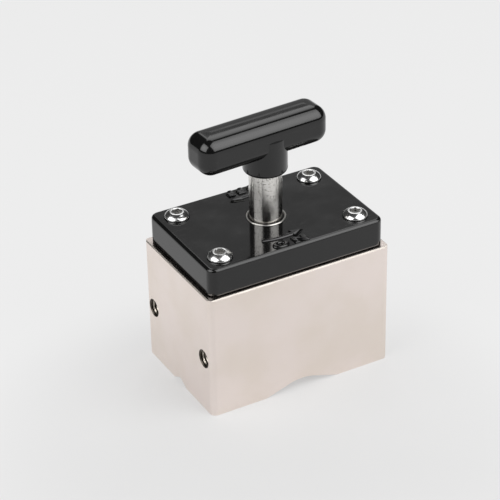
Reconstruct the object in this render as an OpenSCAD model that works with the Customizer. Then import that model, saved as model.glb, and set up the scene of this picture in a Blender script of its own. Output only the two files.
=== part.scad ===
// Switchable magnetic welding square, in millimetres.
// A plated steel block is bored from above for two stacked disc magnets. The lower disc is keyed to
// the block and the upper disc is turned half a turn by a T-handle, which switches the hold on.
// X runs along the block, Y across it and Z up. The origin is the middle of the base.

/* [Housing block] */
// Length of the block
block_l = 71; // [69:0.5:90]
// Width of the block
block_w = 48; // [47:0.5:60]
// Height of the block
block_h = 46.75; // [46:0.25:60]
// Radius of the four upright edges
corner_r = 2.2; // [1:0.1:4]
// Chamfer along the top edges
edge_chamfer = 0.4; // [0.2:0.1:1]
// Steel left between the magnet bore and the block's long faces
bore_wall = 4; // [3.5:0.25:4.5]
// Steel left between the bore floor and the top of the wide channel
floor_web = 2; // [1:0.1:3]

/* [Channels in the base] */
// Width of the channel across the base, which splits it into two pole feet
channel_w = 28.5; // [22:0.5:32]
// Slope of its flanks, in degrees
channel_slope = 17.5; // [14:0.5:20]
// Radius along its top
channel_r = 16; // [8:0.5:20]
// Radius along its two lower edges
channel_edge_r = 6; // [2:0.5:8]
// Width of the pipe groove along the base
groove_w = 9; // [6:0.5:12]
// Slope of its flanks, in degrees
groove_slope = 28; // [20:1:32]
// Radius along its top
groove_r = 1.5; // [1:0.1:3]
// Radius along its two lower edges
groove_edge_r = 1; // [0.5:0.1:2]

/* [Threaded side holes] */
// Distance between the two holes in the left end face
side_hole_spacing = 37; // [30:0.5:38]
// Height of the holes above the base
side_hole_z = 21; // [12:0.5:26]
// Depth of the holes
side_hole_depth = 12; // [8:0.5:14]
// Nominal diameter of their thread
side_thread_d = 6; // [4:0.5:8]
// Width of the countersink round the thread
side_sink = 0.4; // [0.2:0.1:0.8]

/* [Magnets] */
// Gap between a disc and the bore wall
magnet_gap = 0.3; // [0.25:0.05:0.6]
// Depth of the two slots in the rim of each disc
slot_depth = 4; // [3:0.25:5]
// Width of the keys and of the driving lugs in those slots
key_w = 6; // [4:0.25:8]
// Depth of the keyways in the bore wall
keyway_depth = 1.5; // [1:0.1:2]
// Thickness of the slip disc between the magnets
slip_t = 0.8; // [0.5:0.1:1.2]
// Gap between the slip disc and the bore wall
slip_gap = 0.3; // [0.2:0.05:0.6]

/* [Drive plate and stop] */
// Thickness of the drive plate
plate_t = 6; // [5.5:0.25:6.75]
// Gap between the plate and the bore wall
plate_gap = 1; // [0.6:0.1:1.5]
// Length of the driving lugs below the plate
lug_l = 8; // [5:0.5:11]
// Diameter of the stop pin
stop_pin_d = 3; // [2.5:0.25:4]
// Distance of the stop pin's axis from the rim of the plate
stop_inset = 5; // [4:0.25:5.5]
// Depth to which the stop pin is pressed into the plate
stop_seat = 3; // [2:0.25:4.5]
// Height of the stop pin inside the track in the cover
stop_engage = 2; // [1:0.25:4]

/* [Shaft] */
// Diameter of the shaft
shaft_d = 11.5; // [10.5:0.25:12]
// Bare length of shaft between the cover and the handle
shaft_reach = 18.5; // [12:0.5:30]
// Diameter of the two-flat end that drives the plate
tang_d = 9; // [8:0.25:10]
// Distance between its flats
tang_flats = 7; // [6:0.25:7.5]
// Length of that end
tang_l = 3.5; // [2.5:0.25:3.5]
// Diameter of the threaded upper end
stud_d = 8; // [6:0.5:8.5]
// Length of the threaded upper end
stud_l = 12; // [8:0.5:12.5]
// Small chamfer on the shaft's ends
shaft_chamfer = 0.5; // [0.3:0.1:0.8]

/* [Shaft bearing] */
// Wall of the shaft bush
bush_wall = 2; // [1.5:0.25:2.5]
// Outer diameter of the bush flange and of the thrust washer
flange_d = 19; // [18:0.25:20]
// Thickness of the bush flange
flange_t = 1.2; // [0.8:0.1:1.5]
// Thickness of the thrust washer
washer_t = 1; // [0.8:0.1:1.5]
// Thickness of the retaining ring
ring_t = 1; // [0.8:0.1:1.2]
// Depth of the ring's groove in the shaft
ring_groove = 0.5; // [0.4:0.05:0.7]
// Width of the retaining ring's band
ring_band = 2; // [1.5:0.1:2.3]
// Gap between the drive plate and the retaining ring
ring_lift = 1; // [0.6:0.1:1.4]
// Depth of the seal's recess in the top of the cover
seal_recess = 3; // [2:0.25:4]
// Diameter of the seal's recess
seal_d = 14; // [13.75:0.25:14.75]
// Height of the seal
seal_h = 2.7; // [1.5:0.1:2.8]
// Wall of the bright case round the seal
case_wall = 0.6; // [0.5:0.05:0.7]
// Height by which the case stands above the cover
case_lift = 0.3; // [0.2:0.1:0.6]

/* [Cover] */
// Step from the block's sides in to the cover's sides
cover_inset = 1.5; // [1:0.1:2.5]
// Height of the cover
cover_h = 10; // [9:0.25:14]
// Depth of the cover's spigot in the magnet bore
spigot_depth = 2.25; // [2:0.25:4]
// Radius of the cover's upright edges
cover_r = 3; // [2:0.25:5]
// Radius along the cover's top edges
cover_fillet = 1.2; // [0.5:0.1:1.5]
// Wall of the moulding
cover_wall = 3; // [2:0.25:3.5]
// Thickness of its roof
roof_t = 4; // [3:0.25:5]
// Diameter of its four screw bosses
boss_d = 10; // [9:0.25:11]
// Thickness of its stiffening ribs
rib_t = 2; // [1.5:0.25:3]
// Thickness of the gasket under the cover
gasket_t = 0.5; // [0.3:0.1:1]
// Step from the cover's sides in to the gasket's sides
gasket_inset = 0.8; // [0.4:0.1:1.2]

/* [Cover screws] */
// Thread diameter of the cover screws
screw_d = 5; // [4:0.5:5]
// Diameter of their button heads
head_d = 9; // [8.8:0.1:10]
// Height of their button heads
head_h = 2.3; // [2:0.05:3]
// Height by which the flat round the socket cuts the dome short
head_flat = 0.8; // [0.4:0.05:1]
// Hexagon size of their sockets, across the flats
hex_af = 3; // [2.5:0.1:3.2]
// Depth of their sockets
hex_depth = 1.6; // [1.2:0.1:1.9]
// Distance of the screws from the block's end faces
screw_end = 9; // [8.5:0.25:10]
// Distance of the screws from the block's side faces
screw_side = 8.5; // [8:0.25:9]
// Length of thread in the block
screw_bite = 12; // [8:0.5:16]

/* [T-handle] */
// Length of the bar
bar_l = 50.3; // [44:0.5:64]
// Width of the bar
bar_w = 14.4; // [14:0.2:20]
// Height of the bar
bar_h = 14; // [13:0.25:20]
// Radius of the bar's edges
bar_r = 4.85; // [3:0.05:6.5]
// Distance of the middle of the bar from the shaft's axis
bar_shift = -2.8; // [-5:0.1:5]
// Turn of the bar from the block's length when off, in degrees
bar_turn = 3.4; // [-5:0.1:5]
// Diameter of the neck under the bar
neck_d = 15.6; // [15.4:0.1:18]
// Height of the neck below the bar
neck_h = 6.4; // [4:0.2:9]
// Chamfer around the neck's lower edge
neck_chamfer = 0.5; // [0.3:0.1:0.8]
// Height over which the neck fades into the bar
neck_fade = 3; // [2:0.25:3.5]
// Depth to which the full shaft enters the neck
neck_socket = 3; // [2:0.25:5]
// Size of the hexagonal insert, across the flats
insert_af = 10.4; // [9.6:0.1:11]
// Length of the insert
insert_l = 13; // [12.75:0.25:14]

/* [Fits] */
// Radial running clearance of the shaft in its bush and seal
run_fit = 0.05; // [0.02:0.01:0.1]
// Clearance between pieces that are pressed, keyed or screwed together
seat_fit = 0.05; // [0.02:0.01:0.1]
// Clearance of the stop pin in its track
track_fit = 0.3; // [0.3:0.05:0.5]
// Radial clearance of the screws in the cover and the gasket
screw_play = 0.25; // [0.15:0.05:0.4]
// Gap between the cover's spigot and the bore
spigot_fit = 0.15; // [0.05:0.05:0.3]

/* [Hidden] */
$fn = 64;
round_fn = 32;
overcut = 1;
channel_steps = 12;
edge_steps = 4;

// Heights of the channels' tops
function channel_top(w, slope, r) = w / 2 * tan(slope) - r * (1 / cos(slope) - 1);
channel_depth = channel_top(channel_w, channel_slope, channel_r);

// Levels of the stacked pieces in the bore, from the floor up. The two magnets share the height that the
// pieces over and between them leave.
bore_r = block_w / 2 - bore_wall;
floor_z = channel_depth + floor_web;
spigot_z = block_h - spigot_depth;
magnet_h = (spigot_z - washer_t - ring_t - ring_lift - plate_t - slip_t - floor_z) / 2;
slip_z = floor_z + magnet_h;
upper_z = slip_z + slip_t;
plate_z = upper_z + magnet_h;
plate_top = plate_z + plate_t;
ring_z = plate_top + ring_lift;
washer_z = ring_z + ring_t;

// Levels of the cover
cover_z = block_h + gasket_t;
cover_top = cover_z + cover_h;
seal_z = cover_top - seal_recess;
track_z = spigot_z + stop_engage + track_fit;

// Levels of the handle
neck_z = cover_top + shaft_reach;
shoulder_z = neck_z + neck_socket;
bar_z = neck_z + neck_h + bar_h / 2;

// Radii that several pieces share
magnet_r = bore_r - magnet_gap;
slot_r = magnet_r - slot_depth;
plate_r = bore_r - plate_gap;
stop_r = plate_r - stop_inset;
spigot_r = bore_r - spigot_fit;
shaft_r = shaft_d / 2;
bush_r = shaft_r + run_fit + bush_wall;
groove_floor_r = shaft_r - ring_groove;
case_r = seal_d / 2;

// Drive screw under the plate
drive_screw_d = 4;
drive_head_d = 8;
drive_head_h = 2.2;
drive_screw_l = 11;
drive_hex_d = 2.9;
drive_hex_depth = 1.4;

// Cover screws in their order round the block, with the front left one first
screw_sides = [[-1, -1], [1, -1], [1, 1], [-1, 1]];
screw_x = block_l / 2 - screw_end;
screw_y = block_w / 2 - screw_side;
tap_extra = 2;
head_overlap = 0.7;

// Lugs of the retaining ring
ring_gap = 3;
ring_ear_d = 3.6;
ring_eye_d = 1.5;

// Colours
plated_steel = "#dccfc5";
magnet_nickel = "#b9bcc0";
bright_steel = "#c9cacb";
dark_steel = "#55565a";
bronze = "#b08d57";
brass = "#c8a951";
white_plastic = "#ecebe6";
black_plastic = "#232323";
black_rubber = "#161616";

// A rectangle with round corners, centred on the axis
module rounded_plan(l, w, r) {
    square([l, w - 2 * r], center = true);
    square([l - 2 * r, w], center = true);
    for (sx = [-1, 1], sy = [-1, 1])
        translate([sx * (l / 2 - r), sy * (w / 2 - r)])
            circle(r = r);
}

// Upright outline of the block seen from one side, with its top corners cut off
module block_elevation(w) {
    polygon([
        [-w / 2, 0],
        [w / 2, 0],
        [w / 2, block_h - edge_chamfer],
        [w / 2 - edge_chamfer, block_h],
        [-w / 2 + edge_chamfer, block_h],
        [-w / 2, block_h - edge_chamfer]
    ]);
}

// Lower edge of a channel on one side, rounded from the base up to the flank
function channel_edge(side, w, slope, edge_r) =
    [for (i = [0:edge_steps])
        let (a = slope * i / edge_steps)
            [side * (w / 2 + edge_r * tan(slope / 2) - edge_r * sin(a)), edge_r * (1 - cos(a))]];

// A shallow vee with round lower edges, whose round top is an arc tangent to both flanks
module channel_outline(w, slope, r, edge_r) {
    centre_z = channel_top(w, slope, r) - r;
    edge_x = w / 2 + edge_r * tan(slope / 2);
    left_edge = channel_edge(-1, w, slope, edge_r);
    polygon(concat(
        [[-edge_x, -overcut], [edge_x, -overcut]],
        channel_edge(1, w, slope, edge_r),
        [for (i = [0:channel_steps])
            let (a = slope * (1 - 2 * i / channel_steps))
                [r * sin(a), centre_z + r * cos(a)]],
        [for (i = [edge_steps:-1:0]) left_edge[i]]
    ));
}

// The block before drilling: its plan, its long outline and its end outline in common
module block_blank() {
    intersection() {
        linear_extrude(block_h)
            rounded_plan(block_l, block_w, corner_r);
        rotate([90, 0, 0])
            linear_extrude(block_w + 2 * overcut, center = true)
                difference() {
                    block_elevation(block_l);
                    channel_outline(channel_w, channel_slope, channel_r, channel_edge_r);
                }
        rotate([90, 0, 90])
            linear_extrude(block_l + 2 * overcut, center = true)
                difference() {
                    block_elevation(block_w);
                    channel_outline(groove_w, groove_slope, groove_r, groove_edge_r);
                }
    }
}

// A radial bar from one distance from the axis to another, on the front (-1) or rear (1) side
module radial_block(side, from_r, to_r, w, z, h) {
    rotate([0, 0, side * 90])
        translate([from_r, -w / 2, z])
            cube([to_r - from_r, w, h]);
}

// Threaded hole in the left end face, with its countersink
module side_hole(y) {
    translate([-block_l / 2, y, side_hole_z])
        rotate([0, 90, 0]) {
            translate([0, 0, -overcut])
                cylinder(d = side_thread_d, h = side_hole_depth + overcut);
            translate([0, 0, -side_sink])
                cylinder(d1 = side_thread_d + 4 * side_sink, d2 = side_thread_d, h = 2 * side_sink);
        }
}

module housing_block() {
    color(plated_steel)
        difference() {
            block_blank();
            translate([0, 0, floor_z])
                cylinder(r = bore_r, h = block_h);
            for (side = [-1, 1])
                radial_block(side, 0, bore_r + keyway_depth, key_w + 2 * seat_fit, floor_z, block_h);
            for (s = screw_sides)
                translate([s[0] * screw_x, s[1] * screw_y, block_h - screw_bite - tap_extra])
                    cylinder(r = screw_d / 2 + seat_fit, h = block_h);
            for (side = [-1, 1])
                side_hole(side * side_hole_spacing / 2);
        }
}

// Disc magnet with a slot in its rim at the front and at the rear
module disc_magnet(z) {
    color(magnet_nickel)
        difference() {
            translate([0, 0, z])
                cylinder(r = magnet_r, h = magnet_h);
            for (side = [-1, 1])
                radial_block(side, slot_r, bore_r + overcut, key_w + 2 * seat_fit,
                    z - overcut, magnet_h + 2 * overcut);
        }
}

// Key that stands in the lower magnet's slot and in the keyway of the bore
module magnet_key(side) {
    color(brass)
        radial_block(side, slot_r + seat_fit, bore_r + keyway_depth - seat_fit, key_w, floor_z, magnet_h);
}

module slip_disc() {
    color(white_plastic)
        translate([0, 0, slip_z])
            cylinder(r = bore_r - slip_gap, h = slip_t);
}

// Outline of the shaft's two-flat end, with room round it where it is a socket
module tang_outline(room) {
    intersection() {
        circle(r = tang_d / 2 + room);
        square([tang_d + 2 * room + overcut, tang_flats + 2 * room], center = true);
    }
}

module drive_plate() {
    color(brass)
        difference() {
            union() {
                translate([0, 0, plate_z])
                    cylinder(r = plate_r, h = plate_t);
                intersection() {
                    for (side = [-1, 1])
                        radial_block(side, slot_r + seat_fit, bore_r, key_w, plate_z - lug_l, lug_l + plate_t / 2);
                    translate([0, 0, plate_z - lug_l - overcut])
                        cylinder(r = plate_r, h = lug_l + plate_t + overcut);
                }
            }
            translate([0, 0, plate_top - tang_l])
                linear_extrude(tang_l + overcut)
                    tang_outline(seat_fit);
            translate([0, 0, plate_z - overcut])
                cylinder(r = drive_screw_d / 2 + seat_fit, h = plate_t + overcut);
            translate([0, 0, plate_z])
                cylinder(r1 = drive_head_d / 2 + seat_fit, r2 = drive_screw_d / 2 + seat_fit, h = drive_head_h);
            translate([stop_r, 0, plate_top - stop_seat])
                cylinder(r = stop_pin_d / 2, h = stop_seat + overcut);
        }
}

// Countersunk screw that clamps the plate to the end of the shaft
module drive_screw() {
    color(dark_steel)
        translate([0, 0, plate_z])
            difference() {
                union() {
                    cylinder(r1 = drive_head_d / 2, r2 = drive_screw_d / 2, h = drive_head_h);
                    cylinder(d = drive_screw_d, h = drive_screw_l);
                }
                translate([0, 0, -overcut])
                    cylinder(d = drive_hex_d, h = overcut + drive_hex_depth, $fn = 6);
            }
}

module stop_pin() {
    color(bright_steel)
        translate([stop_r, 0, plate_top - stop_seat])
            cylinder(d = stop_pin_d, h = stop_seat + spigot_z + stop_engage - plate_top);
}

// Turned shaft: two-flat end, ring groove, bearing length, shoulder and threaded end
module shaft() {
    color(bright_steel)
        difference() {
            union() {
                translate([0, 0, plate_top - tang_l])
                    linear_extrude(tang_l)
                        tang_outline(0);
                translate([0, 0, plate_top])
                    cylinder(r = shaft_r, h = shoulder_z - plate_top);
                translate([0, 0, shoulder_z])
                    cylinder(d = stud_d, h = stud_l - shaft_chamfer);
                translate([0, 0, shoulder_z + stud_l - shaft_chamfer])
                    cylinder(d1 = stud_d, d2 = stud_d - 2 * shaft_chamfer, h = shaft_chamfer);
            }
            difference() {
                translate([0, 0, ring_z - seat_fit])
                    cylinder(r = shaft_r + overcut, h = ring_t + 2 * seat_fit);
                translate([0, 0, ring_z - overcut])
                    cylinder(r = groove_floor_r, h = ring_t + 2 * overcut);
            }
            translate([0, 0, plate_top - tang_l - overcut])
                cylinder(r = drive_screw_d / 2 + seat_fit, h = drive_screw_l + overcut);
        }
}

// Open spring ring with two ears, which holds the shaft down in its bush
module retaining_ring() {
    outer_r = groove_floor_r + seat_fit + ring_band;
    ear_x = (ring_gap + ring_ear_d) / 2;
    ear_y = -outer_r + ring_band / 2;
    color(dark_steel)
        translate([0, 0, ring_z])
            linear_extrude(ring_t)
                difference() {
                    union() {
                        circle(r = outer_r);
                        for (side = [-1, 1])
                            translate([side * ear_x, ear_y])
                                circle(d = ring_ear_d);
                    }
                    circle(r = groove_floor_r + seat_fit);
                    translate([-ring_gap / 2, -outer_r - ring_ear_d])
                        square([ring_gap, outer_r + ring_ear_d]);
                    for (side = [-1, 1])
                        translate([side * ear_x, ear_y])
                            circle(d = ring_eye_d);
                }
}

module thrust_washer() {
    color(bright_steel)
        translate([0, 0, washer_z])
            difference() {
                cylinder(d = flange_d, h = washer_t);
                translate([0, 0, -overcut])
                    cylinder(r = shaft_r + 2 * run_fit, h = washer_t + 2 * overcut);
            }
}

// Flanged bush, pressed into the cover from below
module shaft_bush() {
    color(bronze)
        difference() {
            union() {
                translate([0, 0, spigot_z])
                    cylinder(d = flange_d, h = flange_t);
                translate([0, 0, spigot_z])
                    cylinder(r = bush_r, h = seal_z - spigot_z);
            }
            translate([0, 0, spigot_z - overcut])
                cylinder(r = shaft_r + run_fit, h = seal_z - spigot_z + 2 * overcut);
        }
}

// Wiper ring in the mouth of the cover, with its lip sloping down to the shaft
module shaft_seal() {
    inner_r = shaft_r + run_fit;
    outer_r = case_r - case_wall;
    lip_w = (outer_r - inner_r) / 2;
    color(black_rubber)
        translate([0, 0, seal_z])
            rotate_extrude()
                polygon([
                    [inner_r, 0],
                    [outer_r, 0],
                    [outer_r, seal_h],
                    [outer_r - lip_w, seal_h],
                    [inner_r, seal_h - lip_w]
                ]);
}

// Bright case round the seal, pressed into the mouth of the cover
module seal_case() {
    chamfer = case_wall / 3;
    case_h = seal_recess + case_lift;
    color(bright_steel)
        translate([0, 0, seal_z])
            rotate_extrude()
                polygon([
                    [case_r - case_wall, 0],
                    [case_r, 0],
                    [case_r, case_h - chamfer],
                    [case_r - chamfer, case_h],
                    [case_r - case_wall + chamfer, case_h],
                    [case_r - case_wall, case_h - chamfer]
                ]);
}

// Flat ring and screw holes of the gasket
module cover_gasket() {
    inset = cover_inset + gasket_inset;
    color(black_rubber)
        translate([0, 0, block_h])
            linear_extrude(gasket_t)
                difference() {
                    rounded_plan(block_l - 2 * inset, block_w - 2 * inset, cover_r);
                    circle(r = bore_r);
                    for (s = screw_sides)
                        translate([s[0] * screw_x, s[1] * screw_y])
                            circle(r = screw_d / 2 + screw_play);
                }
}

// Outer form of the cover, with round upright edges and round top edges
module cover_form() {
    l = block_l - 2 * cover_inset;
    w = block_w - 2 * cover_inset;
    translate([0, 0, cover_z])
        hull()
            for (sx = [-1, 1], sy = [-1, 1])
                translate([sx * (l / 2 - cover_r), sy * (w / 2 - cover_r)]) {
                    cylinder(r = cover_r, h = cover_h - cover_fillet, $fn = round_fn);
                    translate([0, 0, cover_h - cover_fillet])
                        rotate_extrude($fn = round_fn)
                            translate([cover_r - cover_fillet, 0])
                                intersection() {
                                    circle(r = cover_fillet, $fn = round_fn);
                                    square(cover_fillet);
                                }
                }
}

// Half-turn track for the stop pin, in the underside of the cover
module stop_track() {
    half_w = stop_pin_d / 2 + track_fit;
    depth = track_z - spigot_z + overcut;
    translate([0, 0, spigot_z - overcut]) {
        intersection() {
            difference() {
                cylinder(r = stop_r + half_w, h = depth);
                translate([0, 0, -overcut])
                    cylinder(r = stop_r - half_w, h = depth + 2 * overcut);
            }
            translate([-bore_r, 0, -overcut])
                cube([2 * bore_r, bore_r, depth + 2 * overcut]);
        }
        for (side = [-1, 1])
            translate([side * stop_r, 0, 0])
                cylinder(r = half_w, h = depth);
    }
}

// Moulded cover: shell, screw bosses, ribs and the bearing boss with its spigot and stop track
module cover() {
    pocket_l = block_l - 2 * (cover_inset + cover_wall);
    pocket_w = block_w - 2 * (cover_inset + cover_wall);
    color(black_plastic)
        difference() {
            union() {
                difference() {
                    cover_form();
                    translate([0, 0, cover_z - overcut])
                        linear_extrude(cover_h - roof_t + overcut)
                            difference() {
                                square([pocket_l, pocket_w], center = true);
                                circle(r = spigot_r);
                                for (s = screw_sides)
                                    translate([s[0] * screw_x, s[1] * screw_y])
                                        circle(d = boss_d);
                                square([pocket_l + overcut, rib_t], center = true);
                            }
                }
                translate([0, 0, spigot_z])
                    cylinder(r = spigot_r, h = cover_z + cover_h - roof_t - spigot_z);
            }
            translate([0, 0, spigot_z - overcut])
                cylinder(r = bush_r, h = seal_z - spigot_z + overcut);
            translate([0, 0, spigot_z - overcut])
                cylinder(d = flange_d + 2 * seat_fit, h = flange_t + overcut);
            translate([0, 0, seal_z - overcut])
                cylinder(r = case_r, h = seal_recess + 2 * overcut);
            for (s = screw_sides)
                translate([s[0] * screw_x, s[1] * screw_y, cover_z - overcut])
                    cylinder(r = screw_d / 2 + screw_play, h = cover_h + 2 * overcut);
            stop_track();
        }
}

// Button-head socket screw in the corner numbered i
module cover_screw(i) {
    cap_h = head_h + head_flat;
    ball_r = (head_d * head_d / 4 + cap_h * cap_h) / (2 * cap_h);
    shank = cover_h + gasket_t + screw_bite;
    color(bright_steel)
        translate([screw_sides[i][0] * screw_x, screw_sides[i][1] * screw_y, cover_top])
            difference() {
                union() {
                    intersection() {
                        translate([0, 0, cap_h - ball_r])
                            sphere(r = ball_r);
                        cylinder(r = head_d, h = head_h);
                    }
                    translate([0, 0, -shank])
                        cylinder(d = screw_d, h = shank + head_overlap);
                }
                translate([0, 0, head_h - hex_depth])
                    cylinder(d = hex_af / cos(30), h = hex_depth + overcut, $fn = 6);
            }
}

// Hexagonal threaded insert inside the handle, with its flats towards the bar's sides
module handle_insert() {
    color(brass)
        translate([0, 0, shoulder_z])
            difference() {
                rotate([0, 0, bar_turn])
                    cylinder(d = insert_af / cos(30), h = insert_l, $fn = 6);
                translate([0, 0, -overcut])
                    cylinder(r = stud_d / 2 + seat_fit, h = insert_l + 2 * overcut);
            }
}

// The bar as a block with all edges round
module handle_bar() {
    translate([bar_shift, 0, bar_z])
        hull()
            for (sx = [-1, 1], sy = [-1, 1], sz = [-1, 1])
                translate([sx * (bar_l / 2 - bar_r), sy * (bar_w / 2 - bar_r), sz * (bar_h / 2 - bar_r)])
                    sphere(r = bar_r, $fn = round_fn);
}

module t_handle() {
    color(black_plastic)
        difference() {
            rotate([0, 0, bar_turn])
                union() {
                    handle_bar();
                    translate([0, 0, neck_z])
                        cylinder(d1 = neck_d - 2 * neck_chamfer, d2 = neck_d, h = neck_chamfer);
                    translate([0, 0, neck_z + neck_chamfer])
                        cylinder(d = neck_d, h = neck_h + bar_r - neck_chamfer);
                    translate([0, 0, neck_z + neck_h + bar_r])
                        cylinder(d1 = neck_d, d2 = neck_d - neck_fade, h = neck_fade);
                }
            translate([0, 0, neck_z - overcut])
                cylinder(r = shaft_r + seat_fit, h = neck_socket + overcut);
            rotate([0, 0, bar_turn])
                translate([0, 0, neck_z])
                    cylinder(d = (insert_af + 2 * seat_fit) / cos(30), h = neck_socket + insert_l, $fn = 6);
        }
}

housing_block();
disc_magnet(floor_z);  // lower_magnet
magnet_key(-1);  // magnet_key_front
magnet_key(1);  // magnet_key_rear
slip_disc();
disc_magnet(upper_z);  // upper_magnet
drive_plate();
drive_screw();
stop_pin();
shaft();
retaining_ring();
thrust_washer();
shaft_bush();
shaft_seal();
seal_case();
cover_gasket();
cover();
cover_screw(0);  // cover_screw_front_left
cover_screw(1);  // cover_screw_front_right
cover_screw(2);  // cover_screw_rear_right
cover_screw(3);  // cover_screw_rear_left
handle_insert();
t_handle();
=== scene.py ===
"""Looks of a switchable magnetic welding square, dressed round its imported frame.

Everything is in metres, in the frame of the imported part: X runs along the block, Y across it and Z
up the shaft, with the origin in the middle of the base. Places that the part already has are read
from its nodes. Sizes that only the looks have are fields of the class that uses them, given as
millimetres times MM, or as millimetres where the name ends in _mm.
"""

import logging
import math
from dataclasses import dataclass, field
from enum import Enum
from typing import Any, Mapping, Sequence

import bpy
import numpy as np
from mathutils import Matrix, Vector


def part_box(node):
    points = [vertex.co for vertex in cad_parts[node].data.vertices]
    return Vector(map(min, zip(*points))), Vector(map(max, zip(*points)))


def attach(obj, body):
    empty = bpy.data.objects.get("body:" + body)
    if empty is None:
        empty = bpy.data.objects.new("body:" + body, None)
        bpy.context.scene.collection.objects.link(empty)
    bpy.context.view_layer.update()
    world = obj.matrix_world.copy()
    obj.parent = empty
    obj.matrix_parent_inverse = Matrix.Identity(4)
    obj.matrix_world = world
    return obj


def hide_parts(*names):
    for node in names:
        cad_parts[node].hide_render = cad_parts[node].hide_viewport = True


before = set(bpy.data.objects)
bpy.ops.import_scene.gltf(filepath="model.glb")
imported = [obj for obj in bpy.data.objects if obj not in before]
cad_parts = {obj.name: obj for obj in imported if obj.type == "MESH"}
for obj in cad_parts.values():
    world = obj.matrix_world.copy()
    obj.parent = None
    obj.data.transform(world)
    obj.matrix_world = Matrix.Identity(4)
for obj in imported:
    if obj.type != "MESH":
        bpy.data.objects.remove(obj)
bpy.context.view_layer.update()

Pair = tuple[float, float]
Triple = tuple[float, float, float]
Node = bpy.types.Node
Piece = bpy.types.Object
Socket = bpy.types.NodeSocket
log = logging.getLogger("welding_square")

MM = 0.001
# Where the two side holes lie: off the block's middle plane, and over its base
SIDE_HOLE_OFFSET = 18.5 * MM
SIDE_HOLE_HEIGHT = 21.0 * MM
# Edges that turn by more than this stay sharp, unless a piece has an angle of its own
SHARP_DEG = 35.0
ALL_SMOOTH_DEG = 180.0
# Chords of a rounded edge, and the radius of the ring round a pole as a share of its face's
EDGE_STEPS = 8
CENTRE_SHARE = 0.3
RISING = (0.0, 1.0)
FALLING = (1.0, 0.0)
# Limits between which most of a soft noise lies
NOISE_LIMITS = (0.3, 0.7)


def linear(colour: str) -> tuple[float, float, float, float]:
    """Turn an sRGB hex colour into the linear colour that shaders take, by the sRGB curve.

    Args:
        colour: the colour as "#rrggbb".

    Returns:
        Linear red, green, blue and an alpha of 1.
    """
    shares = [int(colour[i : i + 2], 16) / 255 for i in (1, 3, 5)]
    red, green, blue = (s / 12.92 if s <= 0.04045 else ((s + 0.055) / 1.055) ** 2.4 for s in shares)
    return red, green, blue, 1.0


@dataclass(frozen=True)
class Nodes:
    """A node tree, and the values that are worked out in it."""

    tree: bpy.types.NodeTree

    def feed(self, entry: Socket, value: Any) -> None:
        """Give an input a constant, or link it to the socket that feeds it.

        Args:
            entry: the input.
            value: the constant or the socket.
        """
        if isinstance(value, Socket):
            self.tree.links.new(value, entry)
        else:
            entry.default_value = value

    def add(
        self, kind: str, inputs: Mapping[str | int, Any] | None = None, **settings: Any
    ) -> Node:
        """Add one node with its settings and its inputs.

        Args:
            kind: the node's type name.
            inputs: constants, or sockets of other nodes, by the name or number of the input.
            settings: properties of the node by name.

        Returns:
            The new node.
        """
        node = self.tree.nodes.new(kind)
        for name, setting in settings.items():
            setattr(node, name, setting)
        for name, value in (inputs or {}).items():
            self.feed(node.inputs[name], value)
        return node

    def spread(self, value: Socket, limits: Pair, results: Pair = RISING) -> Socket:
        """Carry a value from one range over to another, with soft ends.

        Args:
            value: the socket with the value.
            limits: the values that give the first and the second result.
            results: results at and below the first limit, and at and above the second.

        Returns:
            The socket with the result.
        """
        ends = zip(("From Min", "From Max", "To Min", "To Max"), limits + results)
        inputs = {"Value": value, **dict(ends)}
        node = self.add("ShaderNodeMapRange", inputs, interpolation_type="SMOOTHSTEP")
        return node.outputs["Result"]

    def blend(self, share: Socket, first: str | Socket, second: str) -> Socket:
        """Mix two colours by a share from 0, all first, to 1, all second.

        Args:
            share: the socket that gives the share.
            first: sRGB hex colour at a share of 0, or the socket that gives it.
            second: sRGB hex colour at a share of 1.

        Returns:
            The socket with the mixed colour.
        """
        start = linear(first) if isinstance(first, str) else first
        inputs = {0: share, 6: start, 7: linear(second)}
        return self.add("ShaderNodeMix", inputs, data_type="RGBA", clamp_factor=True).outputs[2]

    def changed(self, value: Socket | float, share: Socket, change: float) -> Socket:
        """Add a share of a change to a value: value plus share times change."""
        inputs = {0: share, 1: change, 2: value}
        return self.add("ShaderNodeMath", inputs, operation="MULTIPLY_ADD").outputs[0]

    def product(self, *factors: Socket) -> Socket:
        """Multiply values with each other.

        Args:
            factors: the sockets with the values.

        Returns:
            The socket with the product.
        """
        result, *others = factors
        for other in others:
            inputs = {0: result, 1: other}
            result = self.add("ShaderNodeMath", inputs, operation="MULTIPLY").outputs[0]
        return result


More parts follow.
